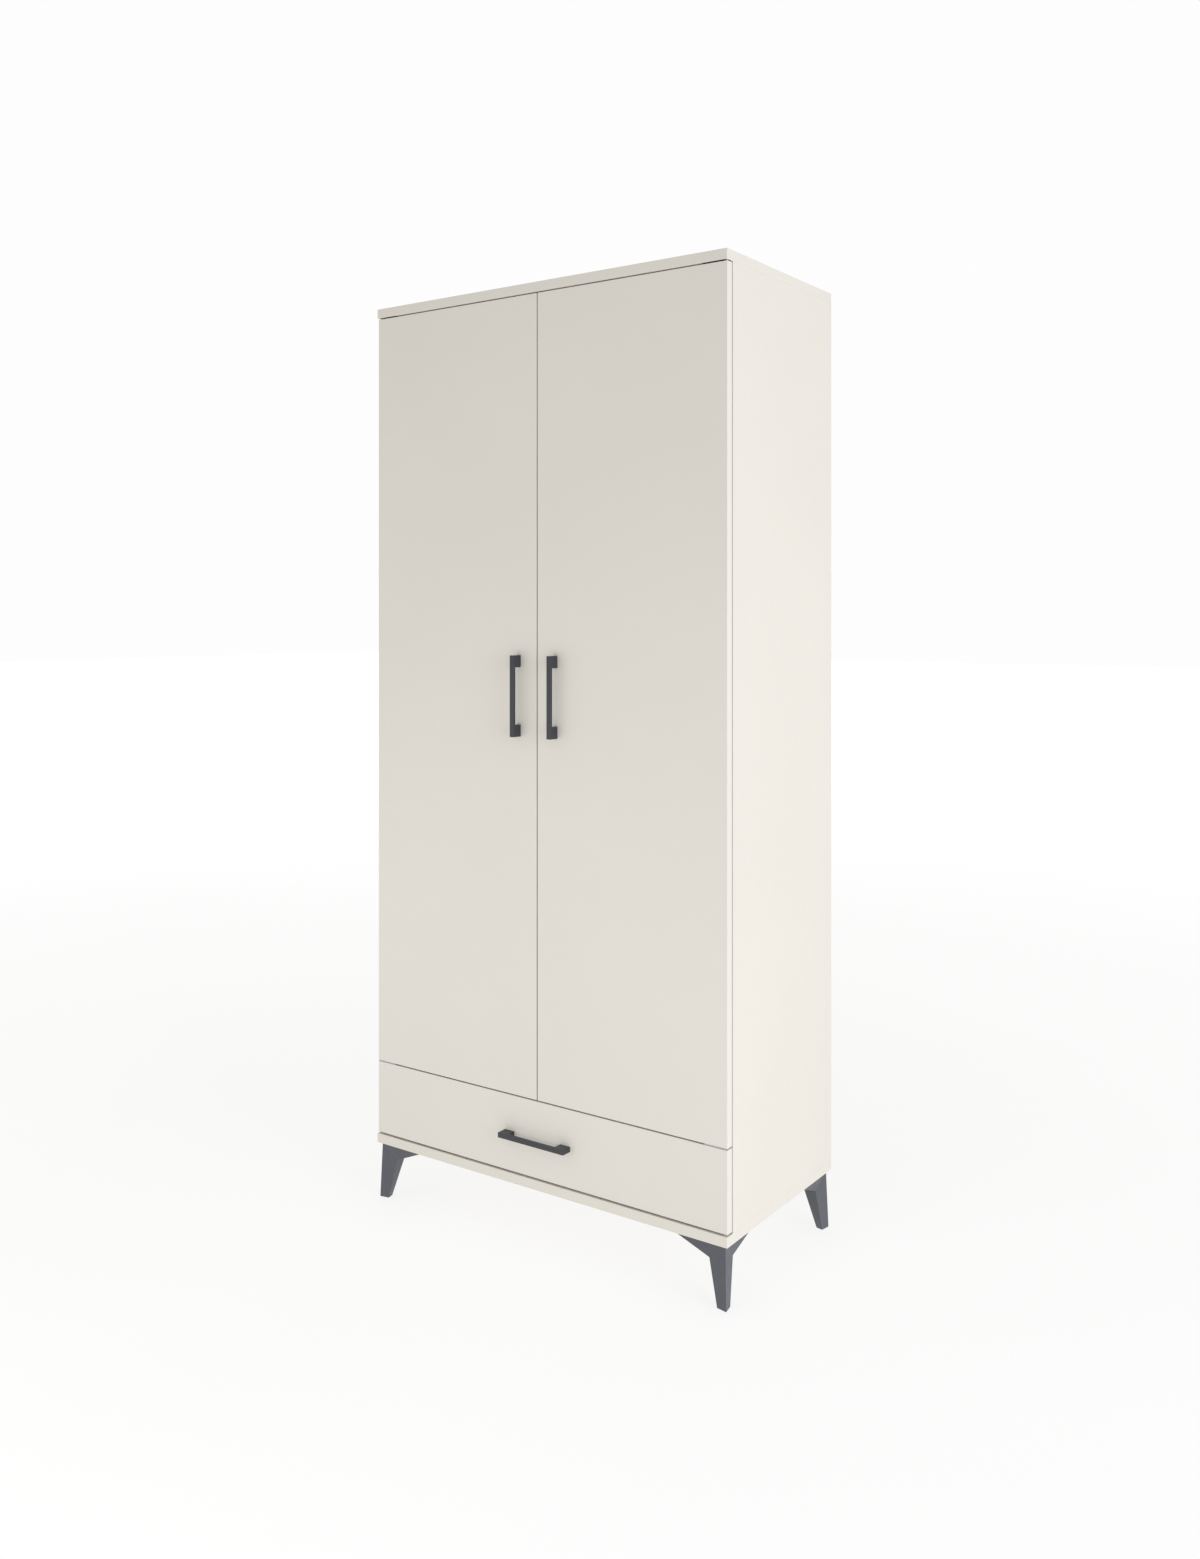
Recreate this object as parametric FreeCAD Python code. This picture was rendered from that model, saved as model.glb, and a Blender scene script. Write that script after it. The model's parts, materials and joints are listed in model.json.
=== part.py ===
"""Two-door wardrobe with a drawer below the doors, on four faceted corner legs.

Frame: millimetres, +Z up, front towards -Y, +X to the right as seen from the front.
The origin is on the floor, under the centre of the whole object's footprint.
"""
import FreeCAD, Part
import os

# Overall size
WIDTH = 800.0
DEPTH = 397.0
BOX_HEIGHT = 1661.0
LEG_HEIGHT = 109.0

# Boards
PANEL = 18.0
FRONT_THICK = 16.0
BOX_SIDE_THICK = 12.0
SHEET = 3.0
EDGE_ROUND = 0.6

# Gaps round the doors and the drawer front
FACE_SETBACK = 2.5
SIDE_REVEAL = 1.0
TOP_GAP = 2.0
BETWEEN_GAP = 2.5
BOTTOM_GAP = 3.0
REAR_GAP = 1.0
DRAWER_FRONT_HEIGHT = 140.5

# Handles
HANDLE_LENGTH = 150.0
HANDLE_PITCH = 128.0
HANDLE_WIDTH = 9.2
HANDLE_BAR = 5.5
HANDLE_PROJECTION = 21.5
DOOR_HANDLE_OFFSET = 42.3
HANDLE_BORE = 1.65

# Back panel, let into a rebate and joined by an H-shaped strip
REBATE_WIDTH = 9.5
REBATE_DEPTH = 4.0
STRIP_WALL = 1.0
STRIP_HALF = 8.0
INNER_BACK_GAP = 2.0

# Shelf and clothes rail
SHELF_BELOW_TOP = 268.0
RAIL_DROP = 62.0
RAIL_WIDE = 15.0
RAIL_TALL = 30.0
RAIL_WALL = 1.2
RAIL_LENGTH = 300.0

# Door pivots
PIVOT_FROM_EDGE = 4.0
PIVOT_FROM_FACE = 5.0
PIVOT_PIN_R = 2.0
PIVOT_CLEAR = 0.06
PIVOT_PIN_REACH = 10.0
PIVOT_PLATE = 2.0
PIVOT_TAB = 1.5
TAB_CLEAR = 0.5

# Drawer runners
RUNNER_LENGTH = 350.0
RUNNER_WIDTH = 12.8
RUNNER_SHEET = 1.2
RUNNER_TALL = 46.0
MIDDLE_TALL = 36.0
INNER_TALL = 25.0
RUNNER_FRONT_GAP = 3.0

# Drawer box
DRAWER_SIDE_HEIGHT = 100.0
DRAWER_LIFT = 8.0
GROOVE_DEPTH = 6.0
GROOVE_LIFT = 10.0
FIT_GAP = 0.2

# Fasteners
CAM_R = 7.4
CAM_HOLE_R = 7.5
CAM_DEPTH = 12.5
CAM_SETBACK = 24.0
BOLT_R = 3.0
BOLT_HOLE_R = 3.2
BOLT_GRIP = 11.0
DOWEL_R = 4.0
DOWEL_HALF = 12.0
SCREW_R = 1.7
SCREW_HEAD_R = 3.4
SCREW_HEAD = 1.6
SCREW_LENGTH = 14.0

# Legs: distances inward from the corner of the box, and heights above the floor
LEG_TOP_INSET = 7.5
LEG_FOOT_INSET = 4.0
WING_REACH = 115.0
WING_INSET = 9.0
KNEE_REACH = 41.6
KNEE_INSET = 12.5
KNEE_HEIGHT = 79.3
INNER_KNEE = 37.4
INNER_KNEE_HEIGHT = 72.6
FOOT_REACH = 23.7
FOOT_SIDE_INSET = 7.6
FOOT_INNER = 20.7
GLIDE_R = 5.0
GLIDE_THICK = 1.0
GLIDE_STEM_R = 2.0
GLIDE_STEM = 10.0
GLIDE_INSET = 13.5

# Wall fixing
BRACKET_WIDE = 40.0
BRACKET_SHEET = 2.0
BRACKET_LEG = 34.0
WALL_HOLE_R = 3.0

# Derived places
HALF = WIDTH / 2
FRONT = -(DEPTH - FACE_SETBACK + HANDLE_PROJECTION) / 2 + HANDLE_PROJECTION - FACE_SETBACK
BACK = FRONT + DEPTH
FACE = FRONT + FACE_SETBACK
FRONT_BACK = FACE + FRONT_THICK
CARCASS = FRONT_BACK + REAR_GAP
BOX_LOW = LEG_HEIGHT
BOX_TOP = LEG_HEIGHT + BOX_HEIGHT
FLOOR_TOP = BOX_LOW + PANEL
CEILING = BOX_TOP - PANEL
INNER = HALF - PANEL
SHEET_FRONT = BACK - REBATE_DEPTH
INNER_BACK = SHEET_FRONT - INNER_BACK_GAP

DRAWER_LOW = FLOOR_TOP + BOTTOM_GAP
DRAWER_HIGH = DRAWER_LOW + DRAWER_FRONT_HEIGHT
DOOR_LOW = DRAWER_HIGH + BETWEEN_GAP
DOOR_HIGH = CEILING - TOP_GAP
DOOR_MID = (DOOR_LOW + DOOR_HIGH) / 2
DIVIDER_LOW = DRAWER_HIGH + BETWEEN_GAP / 2 - PANEL / 2
DIVIDER_HIGH = DIVIDER_LOW + PANEL
SHELF_HIGH = CEILING - SHELF_BELOW_TOP + PANEL
SHELF_LOW = SHELF_HIGH - PANEL

PIVOT_X = HALF - SIDE_REVEAL - PIVOT_FROM_EDGE
PIVOT_Y = FACE + PIVOT_FROM_FACE

RUNNER_Y = CARCASS + RUNNER_FRONT_GAP
RUNNER_Z = FLOOR_TOP + DRAWER_LIFT + DRAWER_SIDE_HEIGHT / 2
DRAWER_SIDE_X = INNER - RUNNER_WIDTH
DRAWER_BACK = FRONT_BACK + RUNNER_LENGTH


def box(x0, x1, y0, y1, z0, z1):
    """A block between two corners, given in any order."""
    low = FreeCAD.Vector(min(x0, x1), min(y0, y1), min(z0, z1))
    return Part.makeBox(abs(x1 - x0), abs(y1 - y0), abs(z1 - z0), low)


def rod(x, y, z, radius, length, along):
    """A cylinder that starts at a point and runs along a direction."""
    return Part.makeCylinder(radius, length, FreeCAD.Vector(x, y, z), FreeCAD.Vector(*along))


def rounded(shape, radius=EDGE_ROUND):
    return shape.makeFillet(radius, shape.Edges)


def cut(shape, tools):
    return shape.cut(Part.makeCompound(tools)) if tools else shape


def mirrored(shape):
    return shape.mirror(FreeCAD.Vector(0, 0, 0), FreeCAD.Vector(1, 0, 0))


def save(name, shape):
    """One file for a piece, or for a group of separate identical pieces."""
    whole = Part.makeCompound(shape) if isinstance(shape, list) else shape
    whole.exportStep("parts/" + name + ".step")


def save_pair(name, shape):
    """The piece modelled on the right, and its mirror image on the left."""
    group = shape if isinstance(shape, list) else [shape]
    save("right_" + name, shape)
    twins = [mirrored(piece) for piece in group]
    save("left_" + name, twins if isinstance(shape, list) else twins[0])


def screw(x, y, z, along, length=SCREW_LENGTH):
    """A countersunk screw: the point is the centre of its head's outer face."""
    tip = FreeCAD.Vector(*along)
    head = Part.makeCone(SCREW_HEAD_R, SCREW_R, SCREW_HEAD, FreeCAD.Vector(x, y, z), tip)
    shank = rod(x, y, z, SCREW_R, length, along)
    slot = rod(x, y, z, 1.3, 1.2, along)
    return head.fuse(shank).cut(slot)


def screw_seat(x, y, z, along, length=SCREW_LENGTH):
    """The countersunk hole that such a screw needs."""
    tip = FreeCAD.Vector(*along)
    head = Part.makeCone(SCREW_HEAD_R + 0.05, SCREW_R + 0.05, SCREW_HEAD, FreeCAD.Vector(x, y, z), tip)
    return head.fuse(rod(x, y, z, SCREW_R + 0.05, length + 0.5, along))


# Fixings between the boards

FIXING_INSET = 45.0
DOWEL_INSET = 105.0
DEPTH_FIXINGS = (CARCASS + FIXING_INSET, INNER_BACK - FIXING_INSET)
DEPTH_DOWELS = (CARCASS + DOWEL_INSET, INNER_BACK - DOWEL_INSET)
BOARD_X = INNER + PANEL / 2


def upright_bolts():
    """Bolts that stand in the top and bottom boards and reach into the ends of the right side."""
    length = BOLT_GRIP + CAM_SETBACK
    tops = [rod(BOARD_X, y, CEILING + BOLT_GRIP, BOLT_R, length, (0, 0, -1)) for y in DEPTH_FIXINGS]
    lows = [rod(BOARD_X, y, FLOOR_TOP - BOLT_GRIP, BOLT_R, length, (0, 0, 1)) for y in DEPTH_FIXINGS]
    return tops + lows


def upright_bolt_holes():
    length = BOLT_GRIP + CAM_SETBACK + 1
    tops = [rod(BOARD_X, y, CEILING + BOLT_GRIP, BOLT_HOLE_R, length, (0, 0, -1)) for y in DEPTH_FIXINGS]
    lows = [rod(BOARD_X, y, FLOOR_TOP - BOLT_GRIP, BOLT_HOLE_R, length, (0, 0, 1)) for y in DEPTH_FIXINGS]
    return tops + lows


def upright_dowels(radius, extra=0.0):
    half = DOWEL_HALF + extra
    tops = [rod(BOARD_X, y, CEILING - half, radius, half + 10 + extra, (0, 0, 1)) for y in DEPTH_DOWELS]
    lows = [rod(BOARD_X, y, FLOOR_TOP + half, radius, half + 10 + extra, (0, 0, -1)) for y in DEPTH_DOWELS]
    return tops + lows


def cam(x, y, z, along, bolt_along, board=PANEL, depth=CAM_DEPTH):
    """A round cam lock with a screwdriver recess and a hole for its bolt."""
    body = rod(x, y, z, CAM_R, depth, along)
    centre = FreeCAD.Vector(x, y, z) + FreeCAD.Vector(*along) * (board / 2)
    towards = FreeCAD.Vector(*bolt_along)
    hole = Part.makeCylinder(BOLT_R + FIT_GAP, 2 * CAM_R, centre - towards * 4, towards)
    recess = rod(x, y, z, 1.5, 2.0, along)
    return body.cut(Part.makeCompound([hole, recess]))


def side_cam_places():
    return [(y, z) for y in DEPTH_FIXINGS for z in (CEILING - CAM_SETBACK, FLOOR_TOP + CAM_SETBACK)]


def side_cams():
    """Cam locks in the inner face of the right side."""
    found = []
    for y, z in side_cam_places():
        up = 1 if z > DOOR_MID else -1
        found.append(cam(INNER, y, z, (1, 0, 0), (0, 0, up)))
    return found


def side_cam_holes():
    return [rod(INNER, y, z, CAM_HOLE_R, CAM_DEPTH + 0.2, (1, 0, 0)) for y, z in side_cam_places()]


def shelf_bolts(radius, extra=0.0):
    """Bolts that stand in the right side and reach into the ends of the divider and the shelf."""
    length = BOLT_GRIP + CAM_SETBACK + extra
    heights = (DIVIDER_LOW + PANEL / 2, SHELF_LOW + PANEL / 2)
    return [rod(INNER + BOLT_GRIP, y, z, radius, length, (-1, 0, 0)) for z in heights for y in DEPTH_FIXINGS]


def shelf_cams():
    """Cam locks in the undersides of the divider and the shelf, at their right ends."""
    lows = (DIVIDER_LOW, SHELF_LOW)
    return [cam(INNER - CAM_SETBACK, y, z, (0, 0, 1), (1, 0, 0)) for z in lows for y in DEPTH_FIXINGS]


def shelf_cam_holes(low):
    return [rod(INNER - CAM_SETBACK, y, low, CAM_HOLE_R, CAM_DEPTH + 0.2, (0, 0, 1)) for y in DEPTH_FIXINGS]


def both_sides(shapes):
    return shapes + [mirrored(shape) for shape in shapes]


# Boards

def lid_board(low, rebate_low):
    """The top or the bottom board, with a stopped rebate for the back panel."""
    board = rounded(box(-HALF, HALF, FRONT, BACK, low, low + PANEL))
    edge = INNER + REBATE_WIDTH
    rebate = box(-edge, edge, SHEET_FRONT, BACK + 1, rebate_low, rebate_low + REBATE_WIDTH)
    holes = both_sides(upright_bolt_holes() + upright_dowels(DOWEL_R + 0.1, 0.5) + nail_holes())
    return cut(board, [rebate] + holes)


def top_panel():
    board = lid_board(CEILING, CEILING)
    right_half = [top_pivot_plate_block(0.0)] + top_pivot_screw_holes() + [wall_bracket_screw_hole()]
    return cut(board, both_sides(right_half) + catch_screw_holes())


def bottom_panel():
    board = lid_board(BOX_LOW, FLOOR_TOP - REBATE_WIDTH)
    return cut(board, leg_screw_holes())


def side_panel():
    board = box(INNER, HALF, CARCASS, BACK, FLOOR_TOP, CEILING)
    rebate = box(INNER, INNER + REBATE_WIDTH, SHEET_FRONT, BACK + 1, FLOOR_TOP, CEILING)
    holes = upright_bolt_holes() + upright_dowels(DOWEL_R + 0.1, 0.5) + side_cam_holes()
    return cut(board, [rebate] + holes + shelf_bolts(BOLT_HOLE_R, 1.0) + runner_screw_holes() + nail_holes())


def shelf_board(low):
    board = box(-INNER, INNER, CARCASS, INNER_BACK, low, low + PANEL)
    return cut(board, both_sides(shelf_cam_holes(low) + shelf_bolts(BOLT_HOLE_R, 1.0)))


def divider():
    flanges = both_sides([lower_flange(0.0)] + lower_screw_holes())
    return cut(shelf_board(DIVIDER_LOW), flanges)


def hat_shelf():
    return cut(shelf_board(SHELF_LOW), rail_screw_holes())


def back_sheet():
    """The right half of the back panel."""
    edge = INNER + REBATE_WIDTH - 0.5
    low = FLOOR_TOP - REBATE_WIDTH + 0.5
    high = CEILING + REBATE_WIDTH - 0.5
    sheet = box(STRIP_WALL / 2 + FIT_GAP, edge, SHEET_FRONT, SHEET_FRONT + SHEET, low, high)
    return cut(sheet, nail_holes())


def back_strip():
    """The H-shaped strip that joins the two halves of the back panel."""
    low = FLOOR_TOP - REBATE_WIDTH + 0.5
    high = CEILING + REBATE_WIDTH - 0.5
    web = box(-STRIP_WALL / 2, STRIP_WALL / 2, SHEET_FRONT, BACK, low, high)
    outer = box(-STRIP_HALF, STRIP_HALF, SHEET_FRONT + SHEET, BACK, low, high)
    inner = box(-STRIP_HALF, STRIP_HALF, SHEET_FRONT - STRIP_WALL, SHEET_FRONT, FLOOR_TOP + 1, CEILING - 1)
    return web.fuse([outer, inner]).removeSplitter()


NAIL_R = 0.8
NAIL_HOLE_R = 0.85
NAIL_HEAD_R = 2.5
NAIL_HEAD = 0.8
NAIL_LENGTH = 12.0
NAIL_ROWS = 9
NAIL_COLUMNS = 3
NAIL_INSET = 5.0


def nail_holes():
    face = SHEET_FRONT + SHEET
    reach = NAIL_LENGTH + 0.5
    return [rod(x, face, z, NAIL_HOLE_R, reach, (0, -1, 0)) for x, z in nail_places()]


def nail_places():
    """Nails up the right edge, and along the top and bottom of the right half."""
    edge = INNER + NAIL_INSET
    low = FLOOR_TOP - NAIL_INSET
    high = CEILING + NAIL_INSET
    rows = [(edge, low + 60 + (high - low - 120) * i / (NAIL_ROWS - 1)) for i in range(NAIL_ROWS)]
    columns = [60 + (edge - 90) * i / (NAIL_COLUMNS - 1) for i in range(NAIL_COLUMNS)]
    return rows + [(x, z) for x in columns for z in (low, high)]


def back_nails():
    face = SHEET_FRONT + SHEET
    nails = []
    for x, z in nail_places():
        head = rod(x, face, z, NAIL_HEAD_R, NAIL_HEAD, (0, 1, 0))
        nails.append(head.fuse(rod(x, face - NAIL_LENGTH, z, NAIL_R, NAIL_LENGTH, (0, 1, 0))))
    return nails


# Door pivots: a pin in a plate above each door, and a pin on a tab below it

def top_pivot_plate_block(shrink):
    """The block of the plate let into the underside of the top board, drawn in on all sides by `shrink`."""
    return box(PIVOT_X - 45 + shrink, HALF - 2.5 - shrink, PIVOT_Y - 6 + shrink, PIVOT_Y + 8 - shrink,
               CEILING, CEILING + PIVOT_PLATE)


def top_pivot():
    pin = rod(PIVOT_X, PIVOT_Y, CEILING + PIVOT_PLATE, PIVOT_PIN_R,
              PIVOT_PLATE + TOP_GAP + PIVOT_PIN_REACH, (0, 0, -1))
    plate = cut(top_pivot_plate_block(0.05), [screw_seat(x, PIVOT_Y, CEILING, (0, 0, 1))
                                              for x in top_pivot_screw_places()])
    return plate.fuse(pin)


def top_pivot_screw_places():
    return (PIVOT_X - 14, PIVOT_X - 36)


def top_pivot_screws():
    return [screw(x, PIVOT_Y, CEILING, (0, 0, 1)) for x in top_pivot_screw_places()]


def top_pivot_screw_holes():
    return [rod(x, PIVOT_Y, CEILING, SCREW_R + 0.05, SCREW_LENGTH + 0.5, (0, 0, 1))
            for x in top_pivot_screw_places()]


TAB_LOW = DRAWER_HIGH + TAB_CLEAR
FLANGE_INNER = PIVOT_X - 42
FLANGE_OUTER = INNER - 0.5
LOWER_SCREWS = (FLANGE_INNER + 7, FLANGE_OUTER - 7)
LOWER_SCREW_Z = DIVIDER_LOW + 4.9


def lower_flange(shrink):
    """The upright flange, let into the front edge of the divider."""
    return box(FLANGE_INNER + shrink, FLANGE_OUTER - shrink, CARCASS, CARCASS + PIVOT_PLATE,
               DIVIDER_LOW + 1.2 + shrink, DIVIDER_HIGH - 1.5 - shrink)


def lower_pivot():
    inner_end = FLANGE_INNER + 0.05
    tab_high = TAB_LOW + PIVOT_TAB
    tab = box(inner_end, DOOR_OUTER - 0.5, FACE + 1.0, CARCASS - 0.3, TAB_LOW, tab_high)
    neck = box(inner_end, FLANGE_OUTER - 0.05, CARCASS - 0.3, CARCASS + 0.5, TAB_LOW, tab_high)
    pin = rod(PIVOT_X, PIVOT_Y, TAB_LOW, PIVOT_PIN_R, DOOR_LOW - TAB_LOW + PIVOT_PIN_REACH, (0, 0, 1))
    seats = [screw_seat(x, CARCASS, LOWER_SCREW_Z, (0, 1, 0)) for x in LOWER_SCREWS]
    return cut(lower_flange(0.05), seats).fuse([neck, tab, pin])


def lower_screws():
    return [screw(x, CARCASS, LOWER_SCREW_Z, (0, 1, 0)) for x in LOWER_SCREWS]


def lower_screw_holes():
    return [rod(x, CARCASS, LOWER_SCREW_Z, SCREW_R + 0.05, SCREW_LENGTH + 0.5, (0, 1, 0))
            for x in LOWER_SCREWS]


# Doors

DOOR_OUTER = HALF - SIDE_REVEAL
DOOR_INNER = BETWEEN_GAP / 2
PLATE_LONG = 52.0
PLATE_HALF = 3.6
PLATE_SCREWS = (16.0, 40.0)


def door_plate_block(z_face, into, shrink):
    """A steel plate let into the door's top or bottom edge."""
    return box(DOOR_OUTER - 0.8 - PLATE_LONG + shrink, DOOR_OUTER - 0.8 - shrink,
               PIVOT_Y - PLATE_HALF + shrink, PIVOT_Y + PLATE_HALF - shrink,
               z_face, z_face + into * PIVOT_PLATE)


def door_plate(z_face, into):
    along = (0, 0, into)
    hole = rod(PIVOT_X, PIVOT_Y, z_face - into, PIVOT_PIN_R + PIVOT_CLEAR, PIVOT_PLATE + 2, along)
    seats = [screw_seat(PIVOT_X - far, PIVOT_Y, z_face, along) for far in PLATE_SCREWS]
    return cut(door_plate_block(z_face, into, 0.05), [hole] + seats)


def door_plates():
    return [door_plate(DOOR_HIGH, -1), door_plate(DOOR_LOW, 1)]


def door_plate_screws():
    tops = [screw(PIVOT_X - far, PIVOT_Y, DOOR_HIGH, (0, 0, -1)) for far in PLATE_SCREWS]
    return tops + [screw(PIVOT_X - far, PIVOT_Y, DOOR_LOW, (0, 0, 1)) for far in PLATE_SCREWS]


def door_plate_screw_holes():
    reach = SCREW_LENGTH + 0.5
    radius = SCREW_R + 0.05
    tops = [rod(PIVOT_X - far, PIVOT_Y, DOOR_HIGH, radius, reach, (0, 0, -1)) for far in PLATE_SCREWS]
    return tops + [rod(PIVOT_X - far, PIVOT_Y, DOOR_LOW, radius, reach, (0, 0, 1)) for far in PLATE_SCREWS]


def door():
    board = rounded(box(DOOR_INNER, DOOR_OUTER, FACE, FRONT_BACK, DOOR_LOW, DOOR_HIGH))
    wells = [rod(PIVOT_X, PIVOT_Y, DOOR_HIGH, PIVOT_PIN_R + 0.4, PIVOT_PIN_REACH + 2, (0, 0, -1)),
             rod(PIVOT_X, PIVOT_Y, DOOR_LOW, PIVOT_PIN_R + 0.4, PIVOT_PIN_REACH + 2, (0, 0, 1))]
    plates = [door_plate_block(DOOR_HIGH, -1, 0.0), door_plate_block(DOOR_LOW, 1, 0.0)]
    return cut(board, wells + plates + door_plate_screw_holes() + strike_screw_holes()
               + handle_screw_holes(door_handle_feet()))


# Handles

def handle(centre, upright):
    """A square bar on two block feet that end flush with it."""
    long_half = HANDLE_LENGTH / 2
    wide_half = HANDLE_WIDTH / 2
    foot = HANDLE_LENGTH - HANDLE_PITCH
    x, z = centre
    front = FACE - HANDLE_PROJECTION
    if upright:
        body = box(x - wide_half, x + wide_half, front, FACE, z - long_half, z + long_half)
        gap = box(x - HANDLE_WIDTH, x + HANDLE_WIDTH, front + HANDLE_BAR, FACE + 1,
                  z - long_half + foot, z + long_half - foot)
    else:
        body = box(x - long_half, x + long_half, front, FACE, z - wide_half, z + wide_half)
        gap = box(x - long_half + foot, x + long_half - foot, front + HANDLE_BAR, FACE + 1,
                  z - HANDLE_WIDTH, z + HANDLE_WIDTH)
    shape = rounded(body.cut(gap), 0.5)
    feet = door_handle_feet() if upright else drawer_handle_feet()
    return cut(shape, [rod(fx, FACE, fz, HANDLE_BORE, 12, (0, -1, 0)) for fx, fz in feet])


def door_handle_feet():
    half = HANDLE_PITCH / 2
    return [(DOOR_HANDLE_OFFSET, DOOR_MID - half), (DOOR_HANDLE_OFFSET, DOOR_MID + half)]


def drawer_handle_feet():
    half = HANDLE_PITCH / 2
    middle = (DRAWER_LOW + DRAWER_HIGH) / 2
    return [(-half, middle), (half, middle)]


def handle_screws(feet):
    """Pan-head screws through the front from behind, into the handle's feet."""
    found = []
    for x, z in feet:
        shank = rod(x, FRONT_BACK, z, HANDLE_BORE - 0.05, FRONT_THICK + 9, (0, -1, 0))
        head = rod(x, FRONT_BACK - SCREW_HEAD, z, SCREW_HEAD_R, SCREW_HEAD, (0, 1, 0))
        slot = box(x - 2.4, x + 2.4, FRONT_BACK - 0.7, FRONT_BACK, z - 0.4, z + 0.4)
        found.append(shank.fuse(head).cut(slot))
    return found


def handle_screw_holes(feet):
    holes = [rod(x, FACE - 1, z, HANDLE_BORE + 0.1, FRONT_THICK + 2, (0, 1, 0)) for x, z in feet]
    return holes + [rod(x, FRONT_BACK - SCREW_HEAD, z, SCREW_HEAD_R + 0.1, 3, (0, 1, 0)) for x, z in feet]


# Magnetic catch and bumpers

CATCH_HALF = 14.0
CATCH_TAB_HALF = 25.0
CATCH_TALL = 12.0
CATCH_DEEP = 16.0
CATCH_SCREW_X = 19.5
STRIKE_X = 8.0
STRIKE_R = 5.5
STRIKE_THICK = 1.0
STRIKE_Z = CEILING - 7.5
BUMPER_R = 3.0
BUMPER_THICK = 0.7


def magnetic_catch():
    """A moulded holder under the top board, with a tab each side of its magnet."""
    front = CARCASS - 0.6
    body = box(-CATCH_HALF, CATCH_HALF, front, front + CATCH_DEEP, CEILING - CATCH_TALL, CEILING)
    tabs = box(-CATCH_TAB_HALF, CATCH_TAB_HALF, front + 4, front + CATCH_DEEP, CEILING - 2, CEILING)
    window = box(-CATCH_HALF + 2, CATCH_HALF - 2, front - 1, front + 8, CEILING - CATCH_TALL + 2, CEILING - 3)
    seats = [screw_seat(x, front + 10, CEILING - 2, (0, 0, 1)) for x in (-CATCH_SCREW_X, CATCH_SCREW_X)]
    return cut(body.fuse(tabs), [window] + seats)


def catch_magnet():
    front = CARCASS - 0.6
    return box(-CATCH_HALF + 2.2, CATCH_HALF - 2.2, front + 0.2, front + 7.8,
               CEILING - CATCH_TALL + 2.2, CEILING - 3.2)


def catch_screws():
    return [screw(x, CARCASS + 9.4, CEILING - 2, (0, 0, 1)) for x in (-CATCH_SCREW_X, CATCH_SCREW_X)]


def catch_screw_holes():
    return [screw_seat(x, CARCASS + 9.4, CEILING - 2, (0, 0, 1)) for x in (-CATCH_SCREW_X, CATCH_SCREW_X)]


def strike_plate():
    """A steel disc let into the back of the door, opposite the magnet."""
    disc = rod(STRIKE_X, FRONT_BACK, STRIKE_Z, STRIKE_R - 0.05, STRIKE_THICK, (0, -1, 0))
    spike = rod(STRIKE_X, FRONT_BACK - STRIKE_THICK, STRIKE_Z, SCREW_R, 8, (0, -1, 0))
    return disc.fuse(spike)


def strike_screw_holes():
    pocket = rod(STRIKE_X, FRONT_BACK, STRIKE_Z, STRIKE_R, STRIKE_THICK, (0, -1, 0))
    return [pocket, rod(STRIKE_X, FRONT_BACK, STRIKE_Z, SCREW_R + 0.05, STRIKE_THICK + 8.5, (0, -1, 0))]


def bumpers():
    """Soft pads on the front edges that the doors and the drawer front close against."""
    places = [(30.0, DOOR_LOW + BUMPER_R + 1.5), (INNER + PANEL / 2, (DRAWER_LOW + DRAWER_HIGH) / 2)]
    return both_sides([rod(x, CARCASS, z, BUMPER_R, BUMPER_THICK, (0, -1, 0)) for x, z in places])


# Clothes rail, front to back under the shelf

RAIL_Z = SHELF_LOW - RAIL_DROP
RAIL_START = (CARCASS + INNER_BACK - RAIL_LENGTH) / 2
RAIL_END = RAIL_START + RAIL_LENGTH
BRACKET_PLATE = 3.0
HOLDER_HALF = 12.0
HOLDER_FLANGE = 30.0
HOLDER_PLUG = 9.0


def oval(y0, y1, wide, tall):
    """A flat-sided oval bar along Y, centred on the rail."""
    radius = wide / 2
    straight = tall / 2 - radius
    middle = box(-radius, radius, y0, y1, RAIL_Z - straight, RAIL_Z + straight)
    ends = [rod(0, y0, RAIL_Z + side * straight, radius, y1 - y0, (0, 1, 0)) for side in (-1, 1)]
    return middle.fuse(ends).removeSplitter()


def clothes_rail():
    outer = oval(RAIL_START, RAIL_END, RAIL_WIDE, RAIL_TALL)
    wall = 2 * RAIL_WALL
    return outer.cut(oval(RAIL_START - 1, RAIL_END + 1, RAIL_WIDE - wall, RAIL_TALL - wall))


def rail_holder(end, outward):
    """A bracket with a plug in the rail's end and a flange under the shelf."""
    plate_low = RAIL_Z - RAIL_TALL / 2 - 4
    plate = box(-HOLDER_HALF, HOLDER_HALF, end, end + outward * BRACKET_PLATE, plate_low, SHELF_LOW)
    flange = box(-HOLDER_HALF, HOLDER_HALF, end - outward * HOLDER_FLANGE, end,
                 SHELF_LOW - BRACKET_PLATE, SHELF_LOW)
    low_y, high_y = sorted((end, end - outward * HOLDER_PLUG))
    clear = 2 * (RAIL_WALL + FIT_GAP)
    plug = oval(low_y, high_y, RAIL_WIDE - clear, RAIL_TALL - clear)
    under = SHELF_LOW - BRACKET_PLATE
    seats = [screw_seat(0, y, under, (0, 0, 1)) for y in holder_screw_places(end, outward)]
    return cut(plate.fuse([flange, plug]), seats)


def holder_screw_places(end, outward):
    return (end - outward * 8, end - outward * 22)


def rail_screw_places():
    return holder_screw_places(RAIL_START, -1) + holder_screw_places(RAIL_END, 1)


def rail_screws():
    return [screw(0, y, SHELF_LOW - BRACKET_PLATE, (0, 0, 1)) for y in rail_screw_places()]


def rail_screw_holes():
    return [screw_seat(0, y, SHELF_LOW - BRACKET_PLATE, (0, 0, 1)) for y in rail_screw_places()]


# Drawer box and front

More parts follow.
